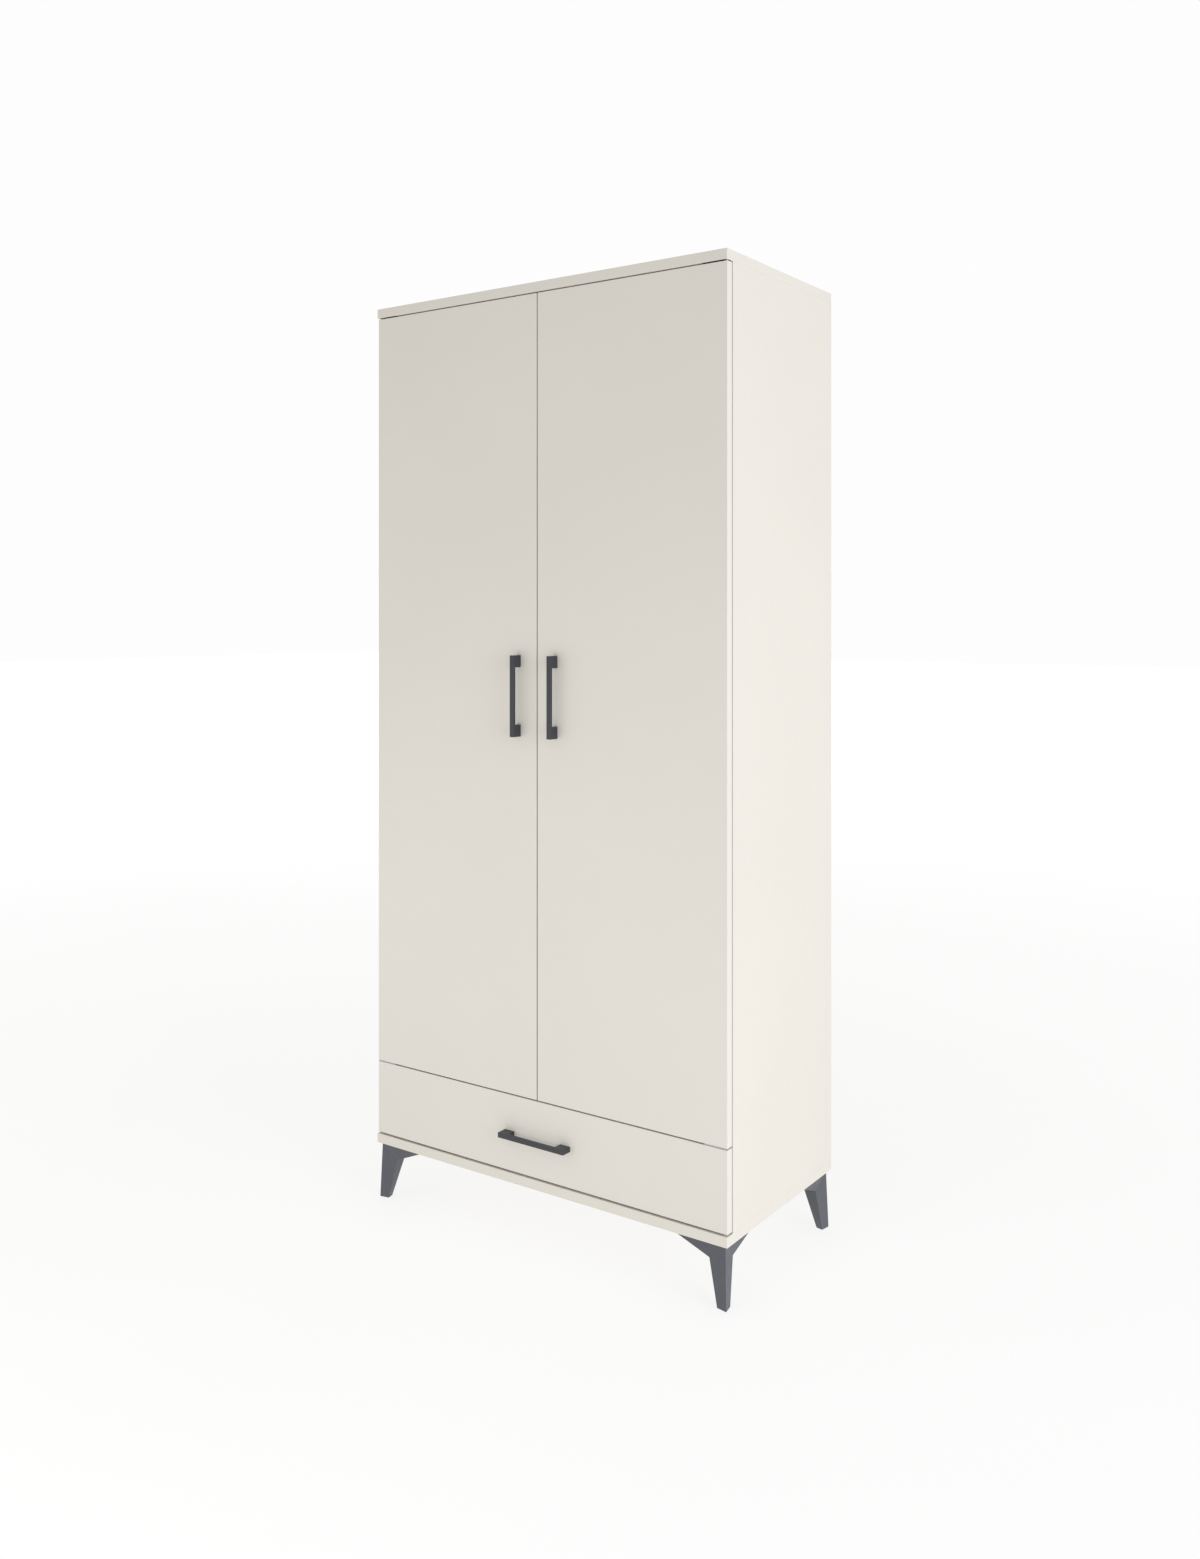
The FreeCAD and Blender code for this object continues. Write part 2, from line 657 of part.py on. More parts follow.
DRAWER_BOX_LOW = FLOOR_TOP + DRAWER_LIFT
DRAWER_BOX_HIGH = DRAWER_BOX_LOW + DRAWER_SIDE_HEIGHT
BOX_INNER = DRAWER_SIDE_X - BOX_SIDE_THICK
SHEET_LOW = DRAWER_BOX_LOW + GROOVE_LIFT
SMALL_CAM_DEPTH = 9.5
DRAWER_CAM_Y = FRONT_BACK + CAM_SETBACK
DRAWER_CAM_Z = (DRAWER_BOX_LOW + 26, DRAWER_BOX_HIGH - 16)
BACK_SCREW_Z = (DRAWER_BOX_LOW + 32, DRAWER_BOX_HIGH - 20)
BACK_SCREW_LENGTH = 30.0


def drawer_front():
    board = rounded(box(-DOOR_OUTER, DOOR_OUTER, FACE, FRONT_BACK, DRAWER_LOW, DRAWER_HIGH))
    edge = BOX_INNER + GROOVE_DEPTH
    groove_high = SHEET_LOW + SHEET + FIT_GAP
    groove = box(-edge, edge, FRONT_BACK - GROOVE_DEPTH, FRONT_BACK + 1, SHEET_LOW, groove_high)
    return cut(board, [groove] + both_sides(drawer_bolts(BOLT_HOLE_R, 0.5))
               + handle_screw_holes(drawer_handle_feet()))


def drawer_side():
    board = box(BOX_INNER, DRAWER_SIDE_X, FRONT_BACK, DRAWER_BACK, DRAWER_BOX_LOW, DRAWER_BOX_HIGH)
    groove = box(BOX_INNER - 1, BOX_INNER + GROOVE_DEPTH, FRONT_BACK - 1, DRAWER_BACK + 1,
                 SHEET_LOW, SHEET_LOW + SHEET + FIT_GAP)
    deep = SMALL_CAM_DEPTH + 0.2
    pockets = [rod(BOX_INNER, DRAWER_CAM_Y, z, CAM_HOLE_R, deep, (1, 0, 0)) for z in DRAWER_CAM_Z]
    return cut(board, [groove] + pockets + drawer_bolts(BOLT_HOLE_R, 0.5) + drawer_back_screw_holes()
               + inner_runner_screw_holes())


def drawer_back():
    board = box(-BOX_INNER, BOX_INNER, DRAWER_BACK - BOX_SIDE_THICK, DRAWER_BACK,
                SHEET_LOW + SHEET + FIT_GAP, DRAWER_BOX_HIGH)
    return cut(board, both_sides(drawer_back_screw_holes()))


def drawer_bottom():
    edge = BOX_INNER + GROOVE_DEPTH - FIT_GAP
    return box(-edge, edge, FRONT_BACK - GROOVE_DEPTH + FIT_GAP, DRAWER_BACK, SHEET_LOW + FIT_GAP / 2,
               SHEET_LOW + FIT_GAP / 2 + SHEET)


def drawer_bolts(radius, extra=0.0):
    """Bolts that stand in the drawer front and reach into the right side's front end."""
    x = BOX_INNER + BOX_SIDE_THICK / 2
    length = BOLT_GRIP + CAM_SETBACK + extra
    return [rod(x, FRONT_BACK - BOLT_GRIP, z, radius, length, (0, 1, 0)) for z in DRAWER_CAM_Z]


def drawer_cams():
    return [cam(BOX_INNER, DRAWER_CAM_Y, z, (1, 0, 0), (0, -1, 0), BOX_SIDE_THICK, SMALL_CAM_DEPTH)
            for z in DRAWER_CAM_Z]


def drawer_back_screws():
    y = DRAWER_BACK - BOX_SIDE_THICK / 2
    return [screw(DRAWER_SIDE_X, y, z, (-1, 0, 0), BACK_SCREW_LENGTH) for z in BACK_SCREW_Z]


def drawer_back_screw_holes():
    y = DRAWER_BACK - BOX_SIDE_THICK / 2
    return [screw_seat(DRAWER_SIDE_X, y, z, (-1, 0, 0), BACK_SCREW_LENGTH) for z in BACK_SCREW_Z]


# Drawer runners: three nested channels on each side

RUNNER_REACH = 10.0
MIDDLE_OFFSET = 2.0
INNER_REACH = 7.8
RUNNER_SCREWS_AT = (37.0, 165.0, 313.0)
INNER_SCREW_LENGTH = 9.0
RUNNER_END = RUNNER_Y + RUNNER_LENGTH


def channel(x_web, x_edge, tall, y0, y1):
    """A sheet-metal channel along Y: a web at one side and a flange above and below."""
    inward = 1 if x_edge > x_web else -1
    outer = box(x_web, x_edge, y0, y1, RUNNER_Z - tall / 2, RUNNER_Z + tall / 2)
    hollow = box(x_web + inward * RUNNER_SHEET, x_edge + inward, y0 - 1, y1 + 1,
                 RUNNER_Z - tall / 2 + RUNNER_SHEET, RUNNER_Z + tall / 2 - RUNNER_SHEET)
    return outer.cut(hollow)


def cabinet_runner():
    shape = channel(INNER, INNER - RUNNER_REACH, RUNNER_TALL, RUNNER_Y, RUNNER_END)
    return cut(shape, runner_screw_holes())


def middle_runner():
    x_web = INNER - MIDDLE_OFFSET
    return channel(x_web, INNER - RUNNER_REACH, MIDDLE_TALL, RUNNER_Y + 2, RUNNER_END - 2)


def drawer_runner():
    shape = channel(DRAWER_SIDE_X, DRAWER_SIDE_X + INNER_REACH, INNER_TALL, RUNNER_Y + 1, RUNNER_END - 1)
    return cut(shape, inner_runner_screw_holes())


def runner_screws():
    x = INNER - RUNNER_SHEET
    return [screw(x, RUNNER_Y + far, RUNNER_Z, (1, 0, 0)) for far in RUNNER_SCREWS_AT]


def runner_screw_holes():
    x = INNER - RUNNER_SHEET
    return [screw_seat(x, RUNNER_Y + far, RUNNER_Z, (1, 0, 0)) for far in RUNNER_SCREWS_AT]


def inner_runner_screws():
    x = DRAWER_SIDE_X + RUNNER_SHEET
    length = INNER_SCREW_LENGTH
    return [screw(x, RUNNER_Y + far, RUNNER_Z, (-1, 0, 0), length) for far in RUNNER_SCREWS_AT]


def inner_runner_screw_holes():
    x = DRAWER_SIDE_X + RUNNER_SHEET
    length = INNER_SCREW_LENGTH
    return [screw_seat(x, RUNNER_Y + far, RUNNER_Z, (-1, 0, 0), length) for far in RUNNER_SCREWS_AT]


# Legs

LEG_SCREWS = ((64.0, 19.0), (19.0, 64.0), (47.0, 47.0))
LEG_SCREW_SEAT = LEG_HEIGHT - 6.0
COUNTERBORE_R = 4.0


def corner_point(right, front, u, v, z):
    """A point given by its distances inward from a corner of the box, and its height."""
    x = HALF - u if right else u - HALF
    y = FRONT + v if front else BACK - v
    return FreeCAD.Vector(x, y, z)


def leg(right, front):
    """A flat-faced leg: a kite-shaped foot that widens to a knee, with a wing along each edge of the box."""
    low = GLIDE_THICK
    places = {
        "foot": (LEG_FOOT_INSET, LEG_FOOT_INSET, low),
        "foot_x": (FOOT_REACH, FOOT_SIDE_INSET, low),
        "foot_y": (FOOT_SIDE_INSET, FOOT_REACH, low),
        "foot_in": (FOOT_INNER, FOOT_INNER, low),
        "top": (LEG_TOP_INSET, LEG_TOP_INSET, LEG_HEIGHT),
        "tip_x": (WING_REACH, WING_INSET, LEG_HEIGHT),
        "tip_y": (WING_INSET, WING_REACH, LEG_HEIGHT),
        "knee_x": (KNEE_REACH, KNEE_INSET, KNEE_HEIGHT),
        "knee_y": (KNEE_INSET, KNEE_REACH, KNEE_HEIGHT),
        "knee_in": (INNER_KNEE, INNER_KNEE, INNER_KNEE_HEIGHT),
    }
    facets = [("foot", "foot_x", "foot_in"), ("foot", "foot_in", "foot_y"), ("top", "tip_x", "tip_y"),
              ("tip_x", "tip_y", "knee_in")]
    for side in ("x", "y"):
        foot, knee, tip = "foot_" + side, "knee_" + side, "tip_" + side
        facets += [("foot", foot, "top"), (foot, knee, "top"), ("top", knee, tip), (tip, knee, "knee_in"),
                   (foot, "foot_in", "knee_in"), (foot, "knee_in", knee)]
    faces = []
    for facet in facets:
        corners = [corner_point(right, front, *places[name]) for name in facet]
        faces.append(Part.Face(Part.makePolygon(corners + corners[:1])))
    solid = Part.makeSolid(Part.makeShell(faces))
    if solid.Volume < 0:
        solid.reverse()
    up = (0, 0, 1)
    feet = [corner_point(right, front, u, v, 0) for u, v in LEG_SCREWS]
    holes = [rod(*foot, COUNTERBORE_R, LEG_SCREW_SEAT, up) for foot in feet]
    seats = [screw_seat(foot.x, foot.y, LEG_SCREW_SEAT, up) for foot in feet]
    stem = rod(*corner_point(right, front, GLIDE_INSET, GLIDE_INSET, 0), GLIDE_STEM_R + 0.05,
               GLIDE_THICK + GLIDE_STEM + 0.5, (0, 0, 1))
    return cut(solid, holes + seats + [stem])


CORNERS = {
    "front_right": (True, True),
    "front_left": (False, True),
    "rear_right": (True, False),
    "rear_left": (False, False),
}


def leg_screws():
    return [screw(*corner_point(right, front, u, v, LEG_SCREW_SEAT), (0, 0, 1))
            for right, front in CORNERS.values() for u, v in LEG_SCREWS]


def leg_screw_holes():
    return [screw_seat(*corner_point(right, front, u, v, LEG_SCREW_SEAT), (0, 0, 1))
            for right, front in CORNERS.values() for u, v in LEG_SCREWS]


def foot_glides():
    """Nail-in glides, one under each leg."""
    found = []
    for right, front in CORNERS.values():
        centre = corner_point(right, front, GLIDE_INSET, GLIDE_INSET, 0)
        disc = rod(*centre, GLIDE_R, GLIDE_THICK, (0, 0, 1))
        found.append(disc.fuse(rod(*centre, GLIDE_STEM_R, GLIDE_THICK + GLIDE_STEM, (0, 0, 1))))
    return found


# Wall fixing

BRACKET_X = 250.0
WALL_HOLE_Z = CEILING - 20.0
BRACKET_SCREW_Y = SHEET_FRONT - 22.0


def wall_bracket():
    """A steel angle under the top board, flat against the back panel, with a hole for a wall screw."""
    half = BRACKET_WIDE / 2
    upper = box(BRACKET_X - half, BRACKET_X + half, SHEET_FRONT - BRACKET_LEG, SHEET_FRONT,
                CEILING - BRACKET_SHEET, CEILING)
    rear = box(BRACKET_X - half, BRACKET_X + half, SHEET_FRONT - BRACKET_SHEET, SHEET_FRONT,
               CEILING - BRACKET_LEG, CEILING)
    hole = rod(BRACKET_X, SHEET_FRONT - 5, WALL_HOLE_Z, WALL_HOLE_R, 10, (0, 1, 0))
    seat = screw_seat(BRACKET_X, BRACKET_SCREW_Y, CEILING - BRACKET_SHEET, (0, 0, 1))
    return cut(upper.fuse(rear), [hole, seat])


def wall_bracket_screw():
    return screw(BRACKET_X, BRACKET_SCREW_Y, CEILING - BRACKET_SHEET, (0, 0, 1))


def wall_bracket_screw_hole():
    return screw_seat(BRACKET_X, BRACKET_SCREW_Y, CEILING - BRACKET_SHEET, (0, 0, 1))


def back_panel():
    hole = rod(BRACKET_X, SHEET_FRONT - 1, WALL_HOLE_Z, WALL_HOLE_R, SHEET + 2, (0, 1, 0))
    return cut(back_sheet(), [hole])


def carcass_screws():
    """Every screw of the one short size that is driven into the boards of the fixed body."""
    right_half = [wall_bracket_screw()] + top_pivot_screws() + lower_screws() + runner_screws()
    return both_sides(right_half) + leg_screws() + rail_screws() + catch_screws()


def save_body():
    save("top_panel", top_panel())
    save("bottom_panel", bottom_panel())
    save_pair("side_panel", side_panel())
    save("divider_panel", divider())
    save("hat_shelf", hat_shelf())
    save_pair("back_panel", back_panel())
    save("back_joint_strip", back_strip())
    save("back_nails", both_sides(back_nails()))
    save("cam_locks", both_sides(side_cams() + shelf_cams()))
    save("cam_bolts", both_sides(upright_bolts() + shelf_bolts(BOLT_R)))
    save("wood_dowels", both_sides(upright_dowels(DOWEL_R)))
    save_pair("wall_bracket", wall_bracket())
    for name, (right, front) in CORNERS.items():
        save(name + "_leg", leg(right, front))
    save("foot_glides", foot_glides())
    save("carcass_screws", carcass_screws())


def save_inside():
    save("clothes_rail", clothes_rail())
    save("rail_front_holder", rail_holder(RAIL_START, -1))
    save("rail_rear_holder", rail_holder(RAIL_END, 1))
    save("magnetic_catch", magnetic_catch())
    save("catch_magnet", catch_magnet())
    save("bumpers", bumpers())


def save_doors():
    save_pair("top_pivot", top_pivot())
    save_pair("lower_pivot", lower_pivot())
    save_pair("door", door())
    save_pair("door_plates", door_plates())
    save_pair("door_plate_screws", door_plate_screws())
    save_pair("door_handle", handle((DOOR_HANDLE_OFFSET, DOOR_MID), True))
    save_pair("door_handle_screws", handle_screws(door_handle_feet()))
    save_pair("door_strike", strike_plate())


def save_drawer():
    save("drawer_front", drawer_front())
    save_pair("drawer_side", drawer_side())
    save("drawer_back", drawer_back())
    save("drawer_bottom", drawer_bottom())
    save("drawer_handle", handle((0, (DRAWER_LOW + DRAWER_HIGH) / 2), False))
    save("drawer_handle_screws", handle_screws(drawer_handle_feet()))
    save("drawer_cam_locks", both_sides(drawer_cams()))
    save("drawer_cam_bolts", both_sides(drawer_bolts(BOLT_R)))
    save("drawer_back_screws", both_sides(drawer_back_screws()))
    save_pair("cabinet_runner", cabinet_runner())
    save_pair("middle_runner", middle_runner())
    save_pair("drawer_runner", drawer_runner())
    save("drawer_runner_screws", both_sides(inner_runner_screws()))


os.makedirs("parts", exist_ok=True)
save_body()
save_inside()
save_doors()
save_drawer()
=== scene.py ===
"""Two-door wardrobe with a drawer: materials, eased edges, studio light and camera."""
import json
import math

import bpy
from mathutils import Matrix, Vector


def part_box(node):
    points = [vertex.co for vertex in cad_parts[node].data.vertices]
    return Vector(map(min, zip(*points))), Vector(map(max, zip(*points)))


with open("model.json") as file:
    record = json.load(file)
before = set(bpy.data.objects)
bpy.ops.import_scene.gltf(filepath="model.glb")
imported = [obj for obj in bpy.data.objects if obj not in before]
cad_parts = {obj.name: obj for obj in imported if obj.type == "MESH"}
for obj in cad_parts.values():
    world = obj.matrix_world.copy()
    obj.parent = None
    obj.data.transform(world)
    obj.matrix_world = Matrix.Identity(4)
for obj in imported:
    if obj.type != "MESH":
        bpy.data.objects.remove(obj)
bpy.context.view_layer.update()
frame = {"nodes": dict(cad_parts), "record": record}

NODES = frame["nodes"]

# Camera: level, at chest height, to the right of the front; only its frame is shifted
CAMERA_YAW = math.radians(35.045)
CAMERA_RIGHT = 1.5254
CAMERA_AHEAD = 1.9718
CAMERA_ABOVE_BOX = 1.0507
LENS = 31.47
SHIFT_DOWN = -0.1052
SENSOR_WIDTH = 36.0

# Colours, linear
CREAM = (0.670, 0.640, 0.578)
CREAM_CASE = (0.662, 0.628, 0.560)
CREAM_DARK = (0.640, 0.608, 0.552)
ANTHRACITE = (0.070, 0.075, 0.088)
HANDLE_GREY = (0.027, 0.029, 0.036)
WHITE_LACQUER = (0.66, 0.63, 0.59)
FIBRE_BROWN = (0.30, 0.19, 0.105)
STEEL = (0.52, 0.52, 0.53)
ZINC = (0.46, 0.46, 0.47)
CHROME = (0.72, 0.72, 0.73)
NATURAL_PLASTIC = (0.70, 0.68, 0.64)
BLACK_PLASTIC = (0.02, 0.02, 0.022)
MAGNET_BLACK = (0.035, 0.035, 0.038)
CLEAR_RUBBER = (0.62, 0.62, 0.60)
BEECH_DARK = (0.50, 0.32, 0.17)
BEECH_LIGHT = (0.64, 0.45, 0.27)
FLOOR_PAINT = (0.18, 0.18, 0.18)
BACKDROP = (0.985, 0.985, 0.985)
SKY = (1.0, 1.0, 1.0)

# The floor gives off most of its own light, and more with distance, to run into the backdrop; metres
FLOOR_GLOW = (0.806, 0.804, 0.800)
FLOOR_GLOW_FAR = (0.91, 0.91, 0.91)
FLOOR_FADE = (1.2, 7.0)
FLOOR_HALF = 30.0
FLOOR_ROUGHNESS = 0.75
FLOOR_SPECULAR = 0.1

# Depths of relief, in metres
SPECKLE_DEPTH = 0.000015
GRAIN_DEPTH = 0.00001
PEBBLE_DEPTH = 0.00003
DRAWN_LINE_DEPTH = 0.00001
FIBRE_DEPTH = 0.00004
RING_DEPTH = 0.00003
SKIN_DEPTH = 0.00001

# Lights: name, place, aim and size in metres, power in watts, colour
SKY_STRENGTH = 0.675
NEUTRAL = (1.0, 1.0, 1.0)
COOL = (0.93, 0.975, 1.08)
LIGHTS = (
    ("key", (4.6, -0.9, 1.5), (0.4, 0.0, 0.9), (2.6, 3.2), 104.0, COOL),
    ("low_front", (-0.25, -1.45, 0.42), (-0.25, -0.19, 0.42), (3.0, 0.5), 6.4, NEUTRAL),
    ("low_side", (2.0, -0.3, 0.2), (0.4, 0.0, 0.12), (1.8, 0.36), 3.2, NEUTRAL),
)


# Node helpers

class Material:
    """A material with its principled shader and short ways to add and join nodes."""

    def __init__(self, name, roughness, metallic=0.0, specular=0.5):
        self.material = bpy.data.materials.new(name)
        self.material.use_nodes = True
        self.tree = self.material.node_tree
        self.shader = self.tree.nodes["Principled BSDF"]
        self.shader.inputs["Roughness"].default_value = roughness
        self.shader.inputs["Metallic"].default_value = metallic
        self.shader.inputs["Specular IOR Level"].default_value = specular
        self.place = self.add("ShaderNodeTexCoord").outputs["Object"]

    def add(self, kind, **settings):
        node = self.tree.nodes.new(kind)
        for key, value in settings.items():
            setattr(node, key, value)
        return node

    def join(self, output, socket):
        self.tree.links.new(output, socket)

    def stretched(self, scale):
        """The object's own coordinates, stretched along its axes."""
        mapping = self.add("ShaderNodeMapping")
        mapping.inputs["Scale"].default_value = scale
        self.join(self.place, mapping.inputs["Vector"])
        return mapping.outputs["Vector"]

    def noise(self, scale, detail=4.0, rough=0.55, place=None, distortion=0.0):
        node = self.add("ShaderNodeTexNoise")
        node.inputs["Scale"].default_value = scale
        node.inputs["Detail"].default_value = detail
        node.inputs["Roughness"].default_value = rough
        node.inputs["Distortion"].default_value = distortion
        self.join(place or self.place, node.inputs["Vector"])
        return node.outputs["Fac"]

    def spread(self, value, low, high, to_low=0.0, to_high=1.0):
        """The value's range from low to high, moved to another range."""
        node = self.add("ShaderNodeMapRange")
        node.inputs["From Min"].default_value = low
        node.inputs["From Max"].default_value = high
        node.inputs["To Min"].default_value = to_low
        node.inputs["To Max"].default_value = to_high
        self.join(value, node.inputs["Value"])
        return node.outputs["Result"]

    def mix(self, factor, first, second):
        """Two colours or colour outputs, blended by a factor output."""
        node = self.add("ShaderNodeMix", data_type="RGBA")
        self.join(factor, node.inputs["Factor"])
        for value, name in ((first, "A"), (second, "B")):
            socket = [s for s in node.inputs if s.name == name and s.type == "RGBA"][0]
            if isinstance(value, tuple):
                socket.default_value = (*value, 1.0)
            else:
                self.join(value, socket)
        return [s for s in node.outputs if s.type == "RGBA"][0]

    def colour(self, output):
        self.join(output, self.shader.inputs["Base Color"])

    def roughness(self, output):
        self.join(output, self.shader.inputs["Roughness"])

    def bump(self, *layers):
        """Relief from pairs of a height output and its depth in metres."""
        normal = None
        for height, depth in layers:
            node = self.add("ShaderNodeBump")
            node.inputs["Strength"].default_value = 1.0
            node.inputs["Distance"].default_value = depth
            self.join(height, node.inputs["Height"])
            if normal:
                self.join(normal, node.inputs["Normal"])
            normal = node.outputs["Normal"]
        self.join(normal, self.shader.inputs["Normal"])


def darker(colour, share):
    return tuple(channel * share for channel in colour)


def laminate(name, colour):
    """Matt cream board: a soft cloud of tone, a fine speckle and a shallow pressed grain."""
    m = Material(name, 0.5, specular=0.35)
    cloud = m.spread(m.noise(2.2, 3.0), 0.35, 0.65)
    speckle = m.spread(m.noise(900.0, 2.0), 0.42, 0.62)
    base = m.mix(cloud, darker(colour, 0.975), colour)
    grain_place = m.stretched((160.0, 160.0, 9.0))
    grain = m.noise(6.0, 5.0, 0.6, grain_place, 0.4)
    toned = m.mix(m.spread(grain, 0.3, 0.75, 0.0, 0.35), base, darker(colour, 0.955))
    m.colour(m.mix(m.spread(speckle, 0.0, 1.0, 0.0, 0.18), toned, darker(colour, 0.93)))
    m.roughness(m.spread(m.noise(38.0, 4.0), 0.3, 0.7, 0.44, 0.58))
    m.bump((m.noise(1400.0, 2.0), SPECKLE_DEPTH), (grain, GRAIN_DEPTH))
    return m.material


def painted(name, colour, roughness, grain=1300.0):
    """Powder-coated metal or textured plastic: a fine pebbled skin with slight tone changes."""
    m = Material(name, roughness, specular=0.5)
    cloud = m.spread(m.noise(14.0, 4.0), 0.3, 0.7)
    pebble = m.noise(grain, 2.0, 0.5)
    base = m.mix(cloud, darker(colour, 0.92), darker(colour, 1.06))
    m.colour(m.mix(m.spread(pebble, 0.45, 0.7, 0.0, 0.3), base, darker(colour, 1.25)))
    m.roughness(m.spread(m.noise(60.0, 3.0), 0.3, 0.7, roughness - 0.06, roughness + 0.08))
    m.bump((pebble, PEBBLE_DEPTH))
    return m.material


def plated(name, colour, roughness, along=(1.0, 1.0, 1.0)):
    """Plated or polished metal with fine drawn lines and a few duller patches."""
    m = Material(name, roughness, metallic=1.0)
    lines = m.noise(90.0, 6.0, 0.65, m.stretched(along))
    patch = m.spread(m.noise(35.0, 3.0), 0.35, 0.7)
    base = m.mix(m.spread(lines, 0.3, 0.7), darker(colour, 0.9), darker(colour, 1.08))
    m.colour(m.mix(m.spread(patch, 0.0, 1.0, 0.0, 0.25), base, darker(colour, 0.82)))
    m.roughness(m.spread(lines, 0.25, 0.75, roughness - 0.05, roughness + 0.1))
    m.bump((lines, DRAWN_LINE_DEPTH))
    return m.material


def hardboard(name):
    """Thin fibre board: lacquered on its inner side, raw and brown behind and below."""
    m = Material(name, 0.6, specular=0.3)
    fibre = m.noise(420.0, 6.0, 0.7, None, 1.2)
    flake = m.noise(90.0, 5.0, 0.65)
    raw = m.mix(m.spread(fibre, 0.35, 0.65), darker(FIBRE_BROWN, 0.72), darker(FIBRE_BROWN, 1.25))
    raw = m.mix(m.spread(flake, 0.4, 0.8, 0.0, 0.4), raw, darker(FIBRE_BROWN, 1.5))
    lacquer = m.mix(m.spread(m.noise(3.0, 3.0), 0.35, 0.65), darker(WHITE_LACQUER, 0.97), WHITE_LACQUER)
    split = m.add("ShaderNodeSeparateXYZ")
    m.join(m.add("ShaderNodeTexCoord").outputs["Normal"], split.inputs["Vector"])
    behind = m.add("ShaderNodeMath", operation="SUBTRACT")
    m.join(split.outputs["Y"], behind.inputs[0])
    m.join(split.outputs["Z"], behind.inputs[1])
    side = m.spread(behind.outputs["Value"], 0.4, 0.6)
    m.colour(m.mix(side, lacquer, raw))
    m.roughness(m.spread(side, 0.0, 1.0, 0.42, 0.85))
    m.bump((fibre, FIBRE_DEPTH))
    return m.material


def timber(name):
    """Light hardwood with rings drawn out along its length."""
    m = Material(name, 0.55)
    rings = m.noise(30.0, 6.0, 0.6, m.stretched((4.0, 4.0, 0.6)), 1.5)
    m.colour(m.mix(m.spread(rings, 0.35, 0.65), BEECH_DARK, BEECH_LIGHT))
    m.bump((rings, RING_DEPTH))
    return m.material


def moulded(name, colour, roughness):
    """Moulded plastic or rubber with an even, faintly uneven skin."""
    m = Material(name, roughness, specular=0.45)
    skin = m.noise(800.0, 3.0)
    m.colour(m.mix(m.spread(m.noise(25.0, 3.0), 0.3, 0.7), darker(colour, 0.95), colour))
    m.roughness(m.spread(skin, 0.3, 0.7, roughness - 0.05, roughness + 0.08))
    m.bump((skin, SKIN_DEPTH))
    return m.material


def slot_materials():
    drawn_along_y = (1.0, 0.04, 1.0)
    return {
        "front_board": laminate("front_board", CREAM),
        "carcass_board": laminate("carcass_board", CREAM_CASE),
        "drawer_board": laminate("drawer_board", CREAM_DARK),
        "hardboard": hardboard("hardboard"),
        "white_plastic": moulded("white_plastic", NATURAL_PLASTIC, 0.45),
        "steel_nail": plated("steel_nail", STEEL, 0.38),
        "zinc_fitting": plated("zinc_fitting", ZINC, 0.42),
        "fastener_steel": plated("fastener_steel", STEEL, 0.32),
        "beech": timber("beech"),
        "bracket_steel": plated("bracket_steel", ZINC, 0.36),
        "leg_plastic": painted("leg_plastic", ANTHRACITE, 0.42),
        "glide_plastic": moulded("glide_plastic", BLACK_PLASTIC, 0.5),
        "rail_chrome": plated("rail_chrome", CHROME, 0.12, drawn_along_y),
        "holder_metal": plated("holder_metal", ZINC, 0.34),
        "magnet": moulded("magnet", MAGNET_BLACK, 0.45),
        "bumper_rubber": moulded("bumper_rubber", CLEAR_RUBBER, 0.3),
        "handle_metal": painted("handle_metal", HANDLE_GREY, 0.4, 1500.0),
        "runner_steel": plated("runner_steel", STEEL, 0.3, drawn_along_y),
    }


# Edges: how far each slot's sharp edges are eased, in metres
EASED = {
    "carcass_board": 0.0008,
    "drawer_board": 0.0004,
    "leg_plastic": 0.0009,
    "bracket_steel": 0.0003,
    "runner_steel": 0.0003,
    "holder_metal": 0.0005,
    "white_plastic": 0.0003,
}
EASED_ANGLE = math.radians(20)


def dress_nodes():
    materials = slot_materials()
    for part in frame["record"]["subparts"]:
        node = NODES[part["node"]]
        kind = part["material_slot"]
        node.data.materials.clear()
        node.data.materials.append(materials[kind])
        if kind in EASED:
            ease = node.modifiers.new("eased_edges", "BEVEL")
            ease.width = EASED[kind]
            ease.segments = 2
            ease.limit_method = "ANGLE"
            ease.angle_limit = EASED_ANGLE
            ease.harden_normals = True


# Studio

def add_camera():
    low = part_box("top_panel")[0]
    bottom_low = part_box("bottom_panel")[0]
    data = bpy.data.cameras.new("camera")
    data.lens = LENS
    data.sensor_width = SENSOR_WIDTH
    data.shift_y = SHIFT_DOWN
    camera = bpy.data.objects.new("camera", data)
    camera.location = (CAMERA_RIGHT, low.y - CAMERA_AHEAD, bottom_low.z + CAMERA_ABOVE_BOX)
    camera.rotation_euler = (math.pi / 2, 0.0, CAMERA_YAW)
    bpy.context.scene.collection.objects.link(camera)
    bpy.context.scene.camera = camera


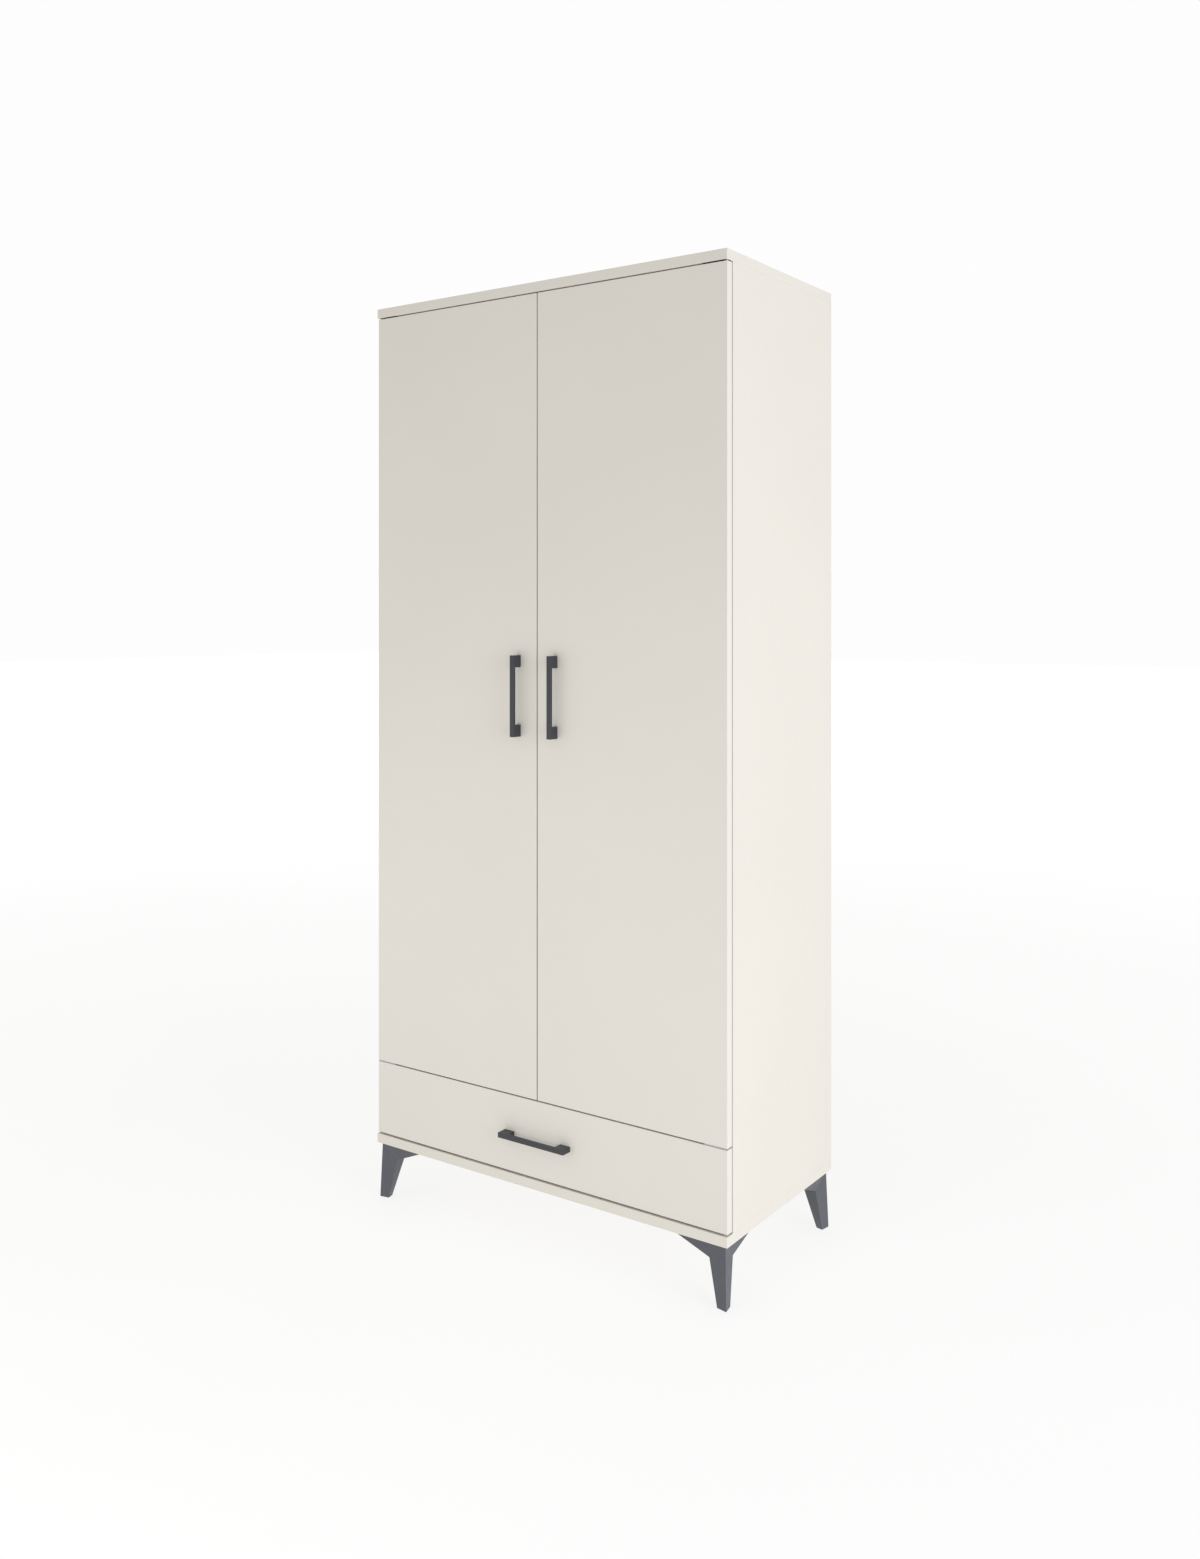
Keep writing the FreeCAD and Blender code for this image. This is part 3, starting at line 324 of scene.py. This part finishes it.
def add_floor():
    """A wide floor that belongs to the studio, not to the wardrobe."""
    mesh = bpy.data.meshes.new("floor")
    half = FLOOR_HALF
    corners = [(-half, -half, 0.0), (half, -half, 0.0), (half, half, 0.0), (-half, half, 0.0)]
    mesh.from_pydata(corners, [], [(0, 1, 2, 3)])
    floor = bpy.data.objects.new("floor", mesh)
    bpy.context.scene.collection.objects.link(floor)
    m = Material("floor", FLOOR_ROUGHNESS, specular=FLOOR_SPECULAR)
    m.colour(m.mix(m.spread(m.noise(0.8, 2.0), 0.3, 0.7), darker(FLOOR_PAINT, 0.94), FLOOR_PAINT))
    reach = m.add("ShaderNodeVectorMath", operation="LENGTH")
    m.join(m.place, reach.inputs[0])
    fade = m.spread(reach.outputs["Value"], *FLOOR_FADE)
    m.join(m.mix(fade, FLOOR_GLOW, FLOOR_GLOW_FAR), m.shader.inputs["Emission Color"])
    m.shader.inputs["Emission Strength"].default_value = 1.0
    floor.data.materials.append(m.material)


def add_area(name, place, aim, size, power, colour):
    """A rectangular soft light that doesn't show itself to the camera."""
    data = bpy.data.lights.new(name, "AREA")
    data.shape = "RECTANGLE"
    data.size, data.size_y = size
    data.energy = power
    data.color = colour
    light = bpy.data.objects.new(name, data)
    light.visible_camera = False
    light.location = place
    light.rotation_euler = (Vector(aim) - Vector(place)).to_track_quat("-Z", "Y").to_euler()
    bpy.context.scene.collection.objects.link(light)


def add_light():
    """The area lights, and a white sky whose own brightness the camera doesn't see."""
    for light in LIGHTS:
        add_area(*light)
    world = bpy.data.worlds.new("studio")
    bpy.context.scene.world = world
    world.use_nodes = True
    tree = world.node_tree
    sky = tree.nodes["Background"]
    sky.inputs["Color"].default_value = (*SKY, 1.0)
    sky.inputs["Strength"].default_value = SKY_STRENGTH
    seen = tree.nodes.new("ShaderNodeBackground")
    seen.inputs["Color"].default_value = (*BACKDROP, 1.0)
    path = tree.nodes.new("ShaderNodeLightPath")
    choose = tree.nodes.new("ShaderNodeMixShader")
    tree.links.new(path.outputs["Is Camera Ray"], choose.inputs["Fac"])
    tree.links.new(sky.outputs["Background"], choose.inputs[1])
    tree.links.new(seen.outputs["Background"], choose.inputs[2])
    tree.links.new(choose.outputs["Shader"], tree.nodes["World Output"].inputs["Surface"])


bpy.context.scene.view_settings.view_transform = "Standard"
dress_nodes()
add_camera()
add_floor()
add_light()
